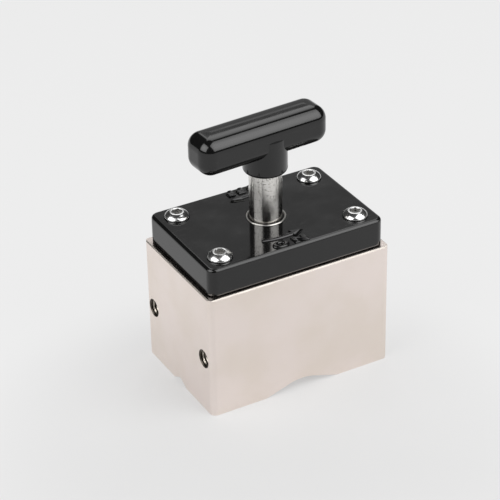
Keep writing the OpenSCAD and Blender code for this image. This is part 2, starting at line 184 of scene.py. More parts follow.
@dataclass(frozen=True)
class Skin(Nodes):
    """The nodes of one material: its Principled shader and its Object coordinates, in metres."""

    shader: Node
    place: Socket

    def give(self, name: str, value: Any) -> None:
        """Give the shader's input of that name a constant, or the socket that feeds it."""
        self.feed(self.shader.inputs[name], value)

    def cloud(
        self, size_mm: float, detail: float = 2.0, stretch: Triple = (1.0, 1.0, 1.0)
    ) -> Socket:
        """Soft noise whose cells are about size_mm wide.

        Args:
            size_mm: width of one cell.
            detail: octaves of finer noise on top.
            stretch: factors on X, Y and Z, under 1 to draw the cells out along that axis.

        Returns:
            The socket with noise from 0 to 1.
        """
        drawn = self.add("ShaderNodeMapping", {"Vector": self.place, "Scale": stretch})
        cells = 1.0 / (size_mm * MM)
        inputs = {"Vector": drawn.outputs["Vector"], "Scale": cells, "Detail": detail}
        return self.add("ShaderNodeTexNoise", inputs).outputs["Fac"]

    def raise_surface(
        self, height: Socket, depth_mm: float, under: Socket | None = None
    ) -> Socket:
        """Bump the surface by a height from 0 to 1, which stands for depth_mm.

        Args:
            height: the socket with the height.
            depth_mm: real depth of the relief.
            under: normal of a coarser relief that this one lies on.

        Returns:
            The socket with the bumped normal.
        """
        inputs = {"Strength": 1.0, "Distance": depth_mm * MM, "Height": height}
        if under:
            inputs["Normal"] = under
        normal = self.add("ShaderNodeBump", inputs).outputs["Normal"]
        self.give("Normal", normal)
        return normal


class Lay(Enum):
    """Direction of a tool's marks on a surface, as the factors that draw a pattern out so."""

    LENGTHWISE = (0.05, 1.0, 1.0)
    ROUND = (0.08, 0.08, 1.0)
    NONE = (1.0, 1.0, 1.0)


@dataclass(frozen=True)
class Finish:
    """A surface finish with a procedural material of its own."""

    name: str

    def material(self) -> bpy.types.Material:
        """Build the material once and hand out the same one afterwards.

        Returns:
            The material.
        """
        found = bpy.data.materials.get(self.name)
        if found:
            return found
        made = bpy.data.materials.new(self.name)
        made.use_nodes = True
        nodes = Nodes(made.node_tree)
        nodes.tree.nodes.clear()
        shader = nodes.add("ShaderNodeBsdfPrincipled")
        nodes.add("ShaderNodeOutputMaterial", {"Surface": shader.outputs["BSDF"]})
        self.shade(Skin(nodes.tree, shader, nodes.add("ShaderNodeTexCoord").outputs["Object"]))
        return made

    def shade(self, skin: Skin) -> None:
        """Set the skin up for this finish.

        Args:
            skin: the material's nodes.
        """
        raise NotImplementedError


@dataclass(frozen=True)
class SatinNickelPlate(Finish):
    """Satin nickel plating on ground steel: a warm pale metal with soft, clouded reflections.

    The eye gets a pinkish beige tone that drifts a little over a face and a faint grinding grain
    along the block. The chamfers get a darker steel colour, painted shade that keeps their
    highlight to a thin line, and the narrow ledge round the cover is burnished, so that it mirrors
    the moulding. The walls and countersinks of the side holes are painted near black, as painted
    shade inside the holes.
    """

    name: str = "satin_nickel_plate_on_ground_steel"
    warm: str = "#f1e6e0"
    cool: str = "#ece1d8"
    # Darker colour on the chamfers: painted shade that keeps their highlight to a thin line
    dimmed_chamfer: str = "#bcb6af"
    # Near black on the walls and countersinks of the side holes: painted shade inside the holes
    hole_shade: str = "#4c4741"
    cloud_mm: float = 26.0
    cloud_limits: Pair = (0.35, 0.65)
    sheen_mm: float = 7.0
    roughness: Pair = (0.30, 0.38)
    grain_mm: float = 0.35
    grain_depth_mm: float = 0.004
    grain_dulling: float = 0.1
    chamfer_dulling: float = 0.15
    ledge_polish: float = 0.2
    edge: float = 0.6 * MM
    hole_reach: float = 3.9 * MM
    hole_rim: float = 0.05 * MM

    def shade(self, skin: Skin) -> None:
        """Set the skin up: clouded tone and lengthwise grain, with chamfers, ledge and holes on it.

        Args:
            skin: the material's nodes.
        """
        facing = skin.add("ShaderNodeNewGeometry").outputs["True Normal"]
        outward = skin.add("ShaderNodeVectorMath", {0: facing}, operation="ABSOLUTE").outputs[0]
        lean = skin.add("ShaderNodeSeparateXYZ", {0: outward}).outputs
        chamfer = self.chamfer_share(skin, lean["Z"])
        hole = self.hole_shade_share(skin, lean["X"])
        tone = skin.spread(skin.cloud(self.cloud_mm, 3.0), self.cloud_limits)
        # The chamfers get their darker colour here, painted shade on their highlight
        plate_with_dim_chamfers = skin.blend(chamfer, skin.blend(tone, self.warm, self.cool), self.dimmed_chamfer)
        # The side holes' walls and countersinks get their painted shade here
        skin.give("Base Color", skin.blend(hole, plate_with_dim_chamfers, self.hole_shade))
        skin.give("Metallic", 1.0)
        grain = skin.cloud(self.grain_mm, stretch=Lay.LENGTHWISE.value)
        rough = skin.spread(skin.cloud(self.sheen_mm), NOISE_LIMITS, self.roughness)
        for share, change in (
            (grain, self.grain_dulling),
            (chamfer, self.chamfer_dulling),
            (skin.spread(lean["Z"], (0.96, 0.99)), -self.ledge_polish),
        ):
            rough = skin.changed(rough, share, change)
        skin.give("Roughness", rough)
        skin.raise_surface(grain, self.grain_depth_mm)

    def chamfer_share(self, skin: Skin, level: Socket) -> Socket:
        """Share of the chamfers' painted shade and duller gloss, 1 on the chamfers along the block's
        top and 0 elsewhere.

        It is 1 where the surface leans, neither level nor upright, less than edge under the top.

        Args:
            skin: the material's nodes.
            level: the socket with how level the surface is, 0 for upright and 1 for level.

        Returns:
            The socket with the share.
        """
        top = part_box("housing_block")[1].z
        height = skin.add("ShaderNodeSeparateXYZ", {0: skin.place}).outputs["Z"]
        return skin.product(
            skin.spread(level, (0.8, 0.95), FALLING),
            skin.spread(level, (0.3, 0.5)),
            skin.spread(height, (top - self.edge, top - 0.8 * self.edge)),
        )

    def hole_shade_share(self, skin: Skin, endwise: Socket) -> Socket:
        """Share of painted shade, 1 on the walls and countersinks of the two side holes, 0
        elsewhere.

        The distance from a hole's axis is the length of the vector (|y| - offset, |z| - height) of
        the side holes. The share is 1 where that is under hole_reach and the surface doesn't face
        along the block.

        Args:
            skin: the material's nodes.
            endwise: the socket with how far the surface faces along the block, from 0 to 1.

        Returns:
            The socket with the share.
        """
        place = skin.add("ShaderNodeVectorMath", {0: skin.place}, operation="ABSOLUTE").outputs[0]
        inputs = {0: place, 1: (0.0, 1.0, 1.0), 2: (0.0, -SIDE_HOLE_OFFSET, -SIDE_HOLE_HEIGHT)}
        apart = skin.add("ShaderNodeVectorMath", inputs, operation="MULTIPLY_ADD").outputs[0]
        far = skin.add("ShaderNodeVectorMath", {0: apart}, operation="LENGTH").outputs["Value"]
        rim = (self.hole_reach - self.hole_rim, self.hole_reach)
        return skin.product(
            skin.spread(far, rim, FALLING), skin.spread(endwise, (0.85, 0.95), FALLING)
        )


@dataclass(frozen=True)
class GlossMoulding(Finish):
    """Glossy black moulded plastic: a deep black that mirrors the studio in a smooth skin.

    The eye gets crisp but slightly wavy reflections, from the flow of the melt and a faint orange
    peel, with hairline scuffs along the block that only dull the gloss.
    """

    name: str = "gloss_black_phenolic_moulding"
    body: str = "#0d0d0d"
    scuffed: str = "#161615"
    roughness: Pair = (0.07, 0.14)
    handled_mm: float = 9.0
    handled_limits: Pair = (0.35, 0.75)
    scuff_mm: float = 0.5
    scuff_stretch: Triple = (0.12, 1.0, 1.0)
    scuff_limits: Pair = (0.58, 0.72)
    scuff_dulling: float = 0.05
    flow_mm: float = 12.0
    flow_depth_mm: float = 0.02
    peel_mm: float = 1.1
    peel_depth_mm: float = 0.0012

    def shade(self, skin: Skin) -> None:
        """Set the skin up: black body, gloss with scuffs, and a faint wave of the surface.

        Args:
            skin: the material's nodes.
        """
        scuffs = skin.cloud(self.scuff_mm, 3.0, self.scuff_stretch)
        share = skin.spread(scuffs, self.scuff_limits)
        skin.give("Base Color", skin.blend(share, self.body, self.scuffed))
        dull = skin.spread(skin.cloud(self.handled_mm, 3.0), self.handled_limits, self.roughness)
        skin.give("Roughness", skin.changed(dull, share, self.scuff_dulling))
        skin.give("IOR", 1.5)
        flow = skin.raise_surface(skin.cloud(self.flow_mm, 1.0), self.flow_depth_mm)
        skin.raise_surface(skin.cloud(self.peel_mm, 1.0), self.peel_depth_mm, flow)


@dataclass(frozen=True)
class WorkedMetal(Finish):
    """A bare or plated metal with tool marks along its lay, a patchy polish and small pits.

    Its pits are where a noise is over pit_start, so a lower one gives more of them.
    """

    colour: str = "#c8c6c2"
    stain: str = "#8e8a84"
    roughness: float = 0.2
    patch_mm: float = 5.0
    patch_factor: float = 1.35
    lay: Lay = Lay.NONE
    mark_mm: float = 0.3
    mark_depth_mm: float = 0.002
    pit_mm: float = 0.6
    pit_start: float = 0.64
    pit_fade: float = 0.1
    pit_dulling: float = 0.15
    stretch: float = 0.0

    def shade(self, skin: Skin) -> None:
        """Set the skin up: metal with marks and pits, and highlights stretched across round marks.

        Args:
            skin: the material's nodes.
        """
        limits = (self.pit_start, self.pit_start + self.pit_fade)
        pitted = skin.spread(skin.cloud(self.pit_mm, 4.0), limits)
        skin.give("Base Color", skin.blend(pitted, self.colour, self.stain))
        skin.give("Metallic", 1.0)
        polish = (self.roughness, self.roughness * self.patch_factor)
        rough = skin.spread(skin.cloud(self.patch_mm), NOISE_LIMITS, polish)
        skin.give("Roughness", skin.changed(rough, pitted, self.pit_dulling))
        skin.raise_surface(skin.cloud(self.mark_mm, stretch=self.lay.value), self.mark_depth_mm)
        if self.lay is Lay.ROUND:
            around = skin.add("ShaderNodeTangent", direction_type="RADIAL", axis="Z")
            skin.give("Tangent", around.outputs["Tangent"])
            skin.give("Anisotropic", self.stretch)
            skin.give("Anisotropic Rotation", 0.25)


@dataclass(frozen=True)
class SoftPolymer(Finish):
    """A matt rubber or plastic with a fine moulded grain."""

    colour: str = "#141414"
    bloom: str = "#1f1e1d"
    bloom_mm: float = 4.0
    bloom_limits: Pair = (0.4, 0.7)
    roughness: Pair = (0.54, 0.66)
    grain_mm: float = 0.4
    grain_depth_mm: float = 0.006

    def shade(self, skin: Skin) -> None:
        """Set the skin up: a dull body with a light bloom and a fine grain.

        Args:
            skin: the material's nodes.
        """
        bloom = skin.spread(skin.cloud(self.bloom_mm, 3.0), self.bloom_limits)
        skin.give("Base Color", skin.blend(bloom, self.colour, self.bloom))
        grain = skin.cloud(self.grain_mm)
        skin.give("Roughness", skin.spread(grain, NOISE_LIMITS, self.roughness))
        skin.raise_surface(grain, self.grain_depth_mm)


# Nickel plate over the ground block, a pale warm satin metal
PLATE = SatinNickelPlate()
# Phenolic moulding, black with a wet-looking skin
MOULDING = GlossMoulding()
# Turned and ground bar: bright, with highlights drawn out along the shaft and small dark specks
TURNED_BAR = WorkedMetal(
    "turned_and_ground_steel_bar", "#dcdad6", "#524e49", roughness=0.14, lay=Lay.ROUND,
    mark_mm=0.25, mark_depth_mm=0.003, pit_mm=0.55, pit_start=0.575, stretch=1.0,
)
# Bright plated screws, near mirrors
CHROME = WorkedMetal(
    "bright_chrome_plate", "#dededd", "#c9c9c8", roughness=0.18, mark_mm=0.5, mark_depth_mm=0.0006
)
# Broached hexagon with patches of its grey phosphate left on it, dull beside the chrome
BROACHED_SOCKET = WorkedMetal(
    "broached_grey_socket", "#a5a4a1", "#4a4845", roughness=0.48, pit_mm=0.8, pit_start=0.56
)
# Drawn steel case of a shaft seal, satin from the die
DRAWN_CASE = WorkedMetal(
    "drawn_steel_seal_case", "#b4b2ae", "#86837e", roughness=0.3, lay=Lay.ROUND,
    mark_mm=0.2, mark_depth_mm=0.001, stretch=0.5,
)
# Cut thread with a film of oil, darker than the plate round it, and darkened further as painted
# shade inside the holes
CUT_THREAD = WorkedMetal(
    "cut_steel_thread", "#a8a197", "#45403b", roughness=0.24, pit_mm=0.8, pit_start=0.54
)
# Nickel on a sintered magnet, bright with a slight orange peel
MAGNET_PLATE = WorkedMetal(
    "bright_nickel_on_sintered_magnet", "#cfd0cf", "#a9a8a2", roughness=0.14,
    mark_mm=0.9, mark_depth_mm=0.004,
)
# Free-cutting brass with turning rings
BRASS = WorkedMetal(
    "machined_brass", "#d9b868", "#a98643", roughness=0.24, lay=Lay.ROUND, stretch=0.4
)
# Sintered bronze with open pores that hold oil
SINTERED_BRONZE = WorkedMetal(
    "oiled_sintered_bronze", "#b58d57", "#5f4526", roughness=0.34, pit_mm=0.25, pit_start=0.56
)
# Spring steel blackened in a hot bath, dark and even
BLACKED_STEEL = WorkedMetal(
    "blackened_spring_steel", "#4a4a4d", "#2a2a2c", roughness=0.36, mark_mm=0.5, pit_mm=0.9
)
# Nitrile rubber, matt black
RUBBER = SoftPolymer("nitrile_rubber")
# Low-friction plastic sheet, milky white
SLIP_SHEET = SoftPolymer(
    "low_friction_plastic_sheet", "#ebe8df", "#f4f2ec", roughness=(0.36, 0.48), grain_mm=0.7
)


def dress(finish: Finish, *nodes: str) -> None:
    """Give nodes of the frame their finish in place of the plain colour that they came with.

    Args:
        finish: the finish that they get.
        nodes: names of the CAD nodes.
    """
    for node in nodes:
        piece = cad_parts[node]
        piece.data.materials.clear()
        piece.data.materials.append(finish.material())
        log.info("dressed %s in %s", node, finish.name)


def add_object(name: str, data: bpy.types.ID) -> Piece:
    """Put a mesh, an outline, a lamp or a camera into the scene.

    Args:
        name: name of the object.
        data: what it shows.

    Returns:
        The new object.
    """
    made = bpy.data.objects.new(name, data)
    bpy.context.scene.collection.objects.link(made)
    return made


def put_out(mesh: bpy.types.Mesh, name: str, finish: Finish, sharp_deg: float) -> Piece:
    """Finish a mesh and put it into the scene.

    Args:
        mesh: the mesh, in the part's frame.
        name: name of the piece.
        finish: the finish that it gets.
        sharp_deg: edges that turn by more than this stay sharp.

    Returns:
        The new object, at the origin.
    """
    mesh.name = name
    mesh.materials.clear()
    mesh.materials.append(finish.material())
    mesh.shade_smooth()
    mesh.set_sharp_from_angle(angle=math.radians(sharp_deg))
    mesh.update()
    return add_object(name, mesh)


def ring_faces(rows: int, columns: int) -> list[list[int]]:
    """Faces of a closed shell of rings, with a pole before the first ring and one after the last.

    The corners are the rings row by row, then the first pole, then the last pole. The rings run
    from the top of the shell to its bottom and go round counter-clockwise seen from above, so that
    the faces point outwards.

    Args:
        rows: number of rings.
        columns: number of corners in each ring.

    Returns:
        The corner numbers of each face.
    """
    number = np.arange(rows * columns).reshape(rows, columns)
    after = np.roll(number, -1, axis=1)
    sides = np.stack([number[:-1], number[1:], after[1:], after[:-1]], axis=-1).reshape(-1, 4)
    first = np.stack([np.full(columns, rows * columns), number[0], after[0]], axis=-1)
    last = np.stack([np.full(columns, rows * columns + 1), after[-1], number[-1]], axis=-1)
    return sides.tolist() + first.tolist() + last.tolist()


def closed_shell(
    name: str, rings: np.ndarray, finish: Finish, sharp_deg: float = SHARP_DEG
) -> Piece:
    """Close a stack of rings with a pole at each end, in the middle of the end ring.

    Args:
        name: name of the piece.
        rings: array of rows, columns and 3 coordinates, in metres, from the top ring to the last.
        finish: the finish that the piece gets.
        sharp_deg: edges that turn by more than this stay sharp.

    Returns:
        The new object.
    """
    rows, columns, _ = rings.shape
    poles = np.stack([rings[0].mean(axis=0), rings[-1].mean(axis=0)])
    corners = np.concatenate([rings.reshape(-1, 3), poles])
    mesh = bpy.data.meshes.new(name)
    mesh.from_pydata(corners.tolist(), [], ring_faces(rows, columns))
    return put_out(mesh, name, finish, sharp_deg)


def stack_points(x: np.ndarray, y: np.ndarray, z: np.ndarray) -> np.ndarray:
    """Array of points from their X, Y and Z, spread to one shape."""
    return np.stack(np.broadcast_arrays(x, y, z), axis=-1)


def turned(points: np.ndarray, turn_deg: float) -> np.ndarray:
    """Turn points about the shaft's axis, counter-clockwise seen from above."""
    return points @ np.array(Matrix.Rotation(math.radians(turn_deg), 3, "Z")).T


def rounding(centre: Pair, radius: float) -> np.ndarray:
    """Lower outer quarter circle: centre plus radius times cosine and sine of 0 to -90 degrees."""
    angle = np.radians(np.linspace(0.0, -90.0, EDGE_STEPS + 1))
    return np.array(centre) + radius * np.stack([np.cos(angle), np.sin(angle)], axis=-1)


def circle(columns: int) -> np.ndarray:
    """Angles of the corners of a ring, once round."""
    return np.linspace(0.0, 2.0 * np.pi, columns, endpoint=False)


def settle(piece: Piece, body: str, slot: str, *stands_for: str) -> None:
    """Hand a finished piece over to the body that it moves with, and report it.

    Args:
        piece: the piece.
        body: the CAD body that it rides on.
        slot: the record's material slot for the piece; not used.
        stands_for: CAD nodes that it replaces.
    """
    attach(piece, body)
    if stands_for:
        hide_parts(*stands_for)
    log.info("made %s with %d faces, on %s", piece.name, len(piece.data.polygons), body)


@dataclass
class HousingBlock:
    """The plated block and the threads in its two side holes.

    A ridge's half widths are shares of the pitch, and how far its foot is sunk into the bore's
    wall is a share of the thread's depth.
    """

    bore_radius: float = 3.0 * MM
    pitch: float = 1.0 * MM
    foot_share: float = 0.42
    crest_share: float = 0.08
    sunk_share: float = 0.05
    thread_depth: float = 0.5 * MM
    thread_start: float = 0.5 * MM
    thread_length: float = 9.5 * MM
    thinnest: float = 0.02
    steps_a_turn: int = 48
    sharp_deg: float = 60.0

    def build(self) -> None:
        """Dress the block and cut the threads."""
        dress(PLATE, "housing_block")
        for end, side in (("front", -1), ("rear", 1)):
            thread = self.thread("side_thread_" + end, side * SIDE_HOLE_OFFSET)
            settle(thread, "block", "plated_steel")

    def thread(self, name: str, across: float) -> Piece:
        """Thread of one side hole, as one ridge wound round the inside of the bore.

        At turn t the ridge lies at the depth of thread_start plus pitch times t. Its section is a
        flat-topped vee: its foot is on the bore and its crest thread_depth nearer the axis, and it
        fades in and out over half a turn at each end.

        Args:
            name: name of the piece.
            across: distance of the hole from the block's middle plane.

        Returns:
            The ridge.
        """
        turns = self.thread_length / self.pitch
        turn = np.linspace(0.0, turns, int(turns * self.steps_a_turn) + 1)[:, None]
        fade = np.clip(np.minimum(turn, turns - turn) * 2.0, self.thinnest, 1.0)
        foot, crest, sunk = self.foot_share, self.crest_share, self.sunk_share
        along = np.array([[-foot, -crest, crest, foot]]) * self.pitch * fade
        inward = np.array([[-sunk, 1.0, 1.0, -sunk]]) * self.thread_depth * fade
        radius = self.bore_radius - inward
        angle = 2.0 * np.pi * turn
        section = stack_points(
            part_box("housing_block")[0].x + self.thread_start + self.pitch * turn + along,
            across + radius * np.cos(angle),
            SIDE_HOLE_HEIGHT + radius * np.sin(angle),
        )
        return closed_shell(name, section, CUT_THREAD, self.sharp_deg)


@dataclass
class MagnetStack:
    """The magnets, their keys, the slip disc and what turns them, all inside the bore."""

    finishes: Sequence[tuple[Finish, Sequence[str]]] = (
        (MAGNET_PLATE, ("lower_magnet", "upper_magnet")),
        (BRASS, ("magnet_key_front", "magnet_key_rear", "drive_plate")),
        (SLIP_SHEET, ("slip_disc",)),
        (BLACKED_STEEL, ("drive_screw", "retaining_ring")),
        (TURNED_BAR, ("stop_pin", "thrust_washer", "shaft")),
    )

    def build(self) -> None:
        """Dress each piece of the stack."""
        for finish, nodes in self.finishes:
            dress(finish, *nodes)


@dataclass
class ButtonScrews:
    """The four button-head screws that hold the cover, each with the turn of its socket."""

    turns_deg: Sequence[tuple[str, float]] = (
        ("front_left", 8.0), ("front_right", 24.0), ("rear_right", -13.0), ("rear_left", 17.0)
    )
    head_radius: float = 4.4 * MM
    head_height: float = 2.15 * MM
    rim_height: float = 0.3 * MM
    fullness: float = 1.7
    ring_radius: float = 2.5 * MM
    ring_crown: float = 0.035 * MM
    socket_flats: float = 3.0 * MM
    socket_depth: float = 1.3 * MM
    socket_sink: float = 0.2 * MM
    drill_point: float = 0.35 * MM
    drill_share: float = 0.25
    floor_share: float = 0.98
    shank_radius: float = 2.5 * MM
    tip_bevel: float = 0.5 * MM
    tip_share: float = 0.8
    columns: int = 96
    dome_points: int = 25
    socket_bands: int = 3
    sharp_deg: float = 28.0

    def build(self) -> None:
        """Make each screw in the place of its node."""
        for corner, turn_deg in self.turns_deg:
            node = "cover_screw_" + corner
            settle(self.screw(node, turn_deg), "block", "chrome_screw", node)

    def screw(self, node: str, turn_deg: float) -> Piece:
        """One screw, as rings from the floor of its socket over the dome to its tip.

        A ring has a radius, a height and a share of hexagon. At the angle a its radius is
        multiplied by 1 on a round ring and by 1 / cos(a), a taken from the middle of the nearest
        flat, on a hexagonal one.

        Args:
            node: the CAD screw that it stands for.
            turn_deg: how far its socket is turned.

        Returns:
            The screw.
        """
        low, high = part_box(node)
        profile = self.profile(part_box("cover")[1].z, low.z)
        radius, height, hexagon = (profile[:, i : i + 1] for i in range(3))
        angle = circle(self.columns)
        from_flat = np.mod(angle + np.pi / 6, np.pi / 3) - np.pi / 6
        reach = radius * (1.0 - hexagon + hexagon / np.cos(from_flat)[None, :])
        angle = angle + math.radians(turn_deg)
        rings = stack_points(
            (low.x + high.x) / 2 + reach * np.cos(angle),
            (low.y + high.y) / 2 + reach * np.sin(angle),
            height,
        )
        name = node.replace("cover_screw", "button_head")
        screw = closed_shell(name, rings, CHROME, self.sharp_deg)
        screw.data.materials.append(BROACHED_SOCKET.material())
        in_socket = np.zeros(len(screw.data.polygons), dtype=np.int32)
        in_socket[: self.socket_bands * self.columns] = 1
        in_socket[-2 * self.columns : -self.columns] = 1
        screw.data.polygons.foreach_set("material_index", in_socket)
        return screw

    def profile(self, seat: float, tip: float) -> np.ndarray:
        """Rings of a screw as radius, height and share of hexagon.

        The ring round the socket is highest along its middle, by ring_crown. The dome is part of a
        superellipse: at the angle t from the top and with p = 2 / fullness, its radius is
        head_radius times sin(t) to the power p, and its height over the rim is a rise times cos(t)
        to the power p, with the rise at which it meets the ring at ring_radius. The rim is a
        quarter circle of rim_height.

        Args:
            seat: height of the head's flat underside.
            tip: height of the end of the thread.

        Returns:
            Array of rows of 3 numbers.
        """
        flat = self.socket_flats / 2
        top = seat + self.head_height
        floor = top - self.socket_depth
        base = seat + self.rim_height
        power = 2.0 / self.fullness
        start = math.asin((self.ring_radius / self.head_radius) ** (1.0 / power))
        rise = (top - self.ring_crown - base) / math.cos(start) ** power
        slope = np.linspace(start, np.pi / 2, self.dome_points)
        falling = np.clip(np.cos(slope), 0.0, 1.0) ** power
        dome = np.stack([self.head_radius * np.sin(slope) ** power, base + rise * falling], axis=-1)
        rim = rounding((self.head_radius - self.rim_height, base), self.rim_height)
        rounded = np.concatenate([dome, rim[1:]])
        sink_radius = flat / math.cos(math.pi / 6) + self.socket_sink
        tip_radius = self.shank_radius * self.tip_share
        return np.concatenate(
            [
                [[flat * self.drill_share, floor - self.drill_point, 0.0]],
                [[flat * self.floor_share, floor, 1.0], [flat, floor, 1.0]],
                [[flat, top - self.socket_sink, 1.0], [sink_radius, top - self.ring_crown, 0.0]],
                [[(sink_radius + self.ring_radius) / 2, top, 0.0]],
                np.column_stack([rounded, np.zeros(len(rounded))]),
                [[self.shank_radius, seat, 0.0], [self.shank_radius, tip + self.tip_bevel, 0.0]],
                [[tip_radius, tip, 0.0], [tip_radius * CENTRE_SHARE, tip, 0.0]],
            ]
        )


@dataclass
class SwitchMarks:
    """Raised words and arrows on the cover that say which way the handle turns.

    Each word has the angle that it is turned by about the shaft's axis, and how much wider than
    usual its letters are. The arrow's head starts at head_start of its length. Its half widths are
    in strokes.
    """

    words: Sequence[tuple[str, float, float]] = (("ON", 0.0, 1.5), ("OFF", 180.0, 1.15))
    relief: float = 0.7 * MM
    round_edge: float = 0.62 * MM
    letter_height: float = 3.1 * MM
    capital_share: float = 0.69
    letter_gap: float = 1.6
    letter_thinning: float = 0.18 * MM
    edge_steps: int = 4
    stroke: float = 1.8 * MM
    tail_half: float = 0.5
    head_half: float = 1.35
    head_start: float = 0.7
    tip_half: float = 0.02
    full_height_half: float = 0.4
    arrow_radius: float = 30.0 * MM
    arrow_sweep_deg: float = 31.0
    arrow_distance: float = 15.3 * MM
    word_distance: float = 19.6 * MM
    word_shift: float = -1.6 * MM
    steps: int = 40
    ridge_points: int = 19

    def build(self) -> None:
        """Put ON with its arrow at the front, and OFF with its own, to read from behind."""
        for word, facing_deg, stretch in self.words:
            settle(self.word(word, facing_deg, stretch), "block", "black_plastic")
            settle(self.arrow(word, facing_deg), "block", "black_plastic")

    def word(self, word: str, facing_deg: float, stretch: float) -> Piece:
        """Raised letters with round strokes, read from the front when facing_deg is 0.

        The outlines are drawn thin, so that the round edges all but meet, and stretched to wide
        letters. Half of their thickness lies in the cover.

        Args:
            word: the word.
            facing_deg: how far it is turned about the shaft's axis.
            stretch: how much wider than usual its letters are.

        Returns:
            The word as a mesh.
        """
        name = "mark_" + word.lower()
        text = bpy.data.curves.new(name, "FONT")
        text.body = word
        text.align_x, text.align_y = "CENTER", "CENTER"
        text.size = self.letter_height / self.capital_share
        text.space_character = self.letter_gap
        text.offset = -self.letter_thinning
        text.extrude = self.relief - self.round_edge
        text.bevel_depth = self.round_edge
        text.bevel_resolution = self.edge_steps
        drawn = add_object("drawn_" + word.lower(), text)
        solid = drawn.evaluated_get(bpy.context.evaluated_depsgraph_get())
        mesh = bpy.data.meshes.new_from_object(solid)
        bpy.data.objects.remove(drawn)
        turn = Matrix.Rotation(math.radians(facing_deg), 4, "Z")
        shift = Matrix.Translation((self.word_shift, -self.word_distance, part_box("cover")[1].z))
        mesh.transform(turn @ shift @ Matrix.Diagonal((stretch, 1.0, 1.0, 1.0)))
        return put_out(mesh, name, MOULDING, SHARP_DEG)

    def arrow(self, word: str, facing_deg: float) -> Piece:
        """Arrow bent a little round the shaft, as one domed ridge whose width changes along it.

        Its middle line is an arc whose lowest point is arrow_distance in front of the shaft's axis.
        Its half width jumps from tail_half to head_half at the head, and falls evenly to a point.
        Across it, the height is relief times the sine of an angle from just under 0 to just over
        180 degrees, and the distance from the middle line is the half width times the cosine.

        Args:
            word: the word that it goes with.
            facing_deg: how far it is turned about the shaft's axis.

        Returns:
            The arrow.
        """
        jump = [self.head_start - 0.001, self.head_start]
        share = np.sort(np.concatenate([np.linspace(0.0, 1.0, self.steps), jump]))
        left = (1.0 - share) / (1.0 - self.head_start)
        head = np.clip(self.head_half * left, self.tip_half, self.head_half)
        half = (np.where(share < self.head_start, self.tail_half, head) * self.stroke)[:, None]
        angle = np.radians(-90.0 + self.arrow_sweep_deg * (share - 0.5))[:, None]
        across = np.radians(np.linspace(-10.0, 190.0, self.ridge_points))[None, :]
        radius = self.arrow_radius + half * np.cos(across)
        fade = np.minimum(1.0, half / (self.full_height_half * self.stroke))
        section = stack_points(
            self.word_shift + radius * np.cos(angle),
            self.arrow_radius - self.arrow_distance + radius * np.sin(angle),
            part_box("cover")[1].z + self.relief * np.sin(across) * fade,
        )
        return closed_shell("arrow_" + word.lower(), turned(section, facing_deg), MOULDING)


@dataclass
class Cover:
    """The moulded cover with its gasket, bush, seal, screws and marks."""

    screws: ButtonScrews = field(default_factory=ButtonScrews)
    marks: SwitchMarks = field(default_factory=SwitchMarks)

    def build(self) -> None:
        """Dress the cover's own nodes, then make its screws and marks."""
        dress(MOULDING, "cover")
        dress(RUBBER, "cover_gasket", "shaft_seal")
        dress(DRAWN_CASE, "seal_case")
        dress(SINTERED_BRONZE, "shaft_bush")
        self.screws.build()
        self.marks.build()


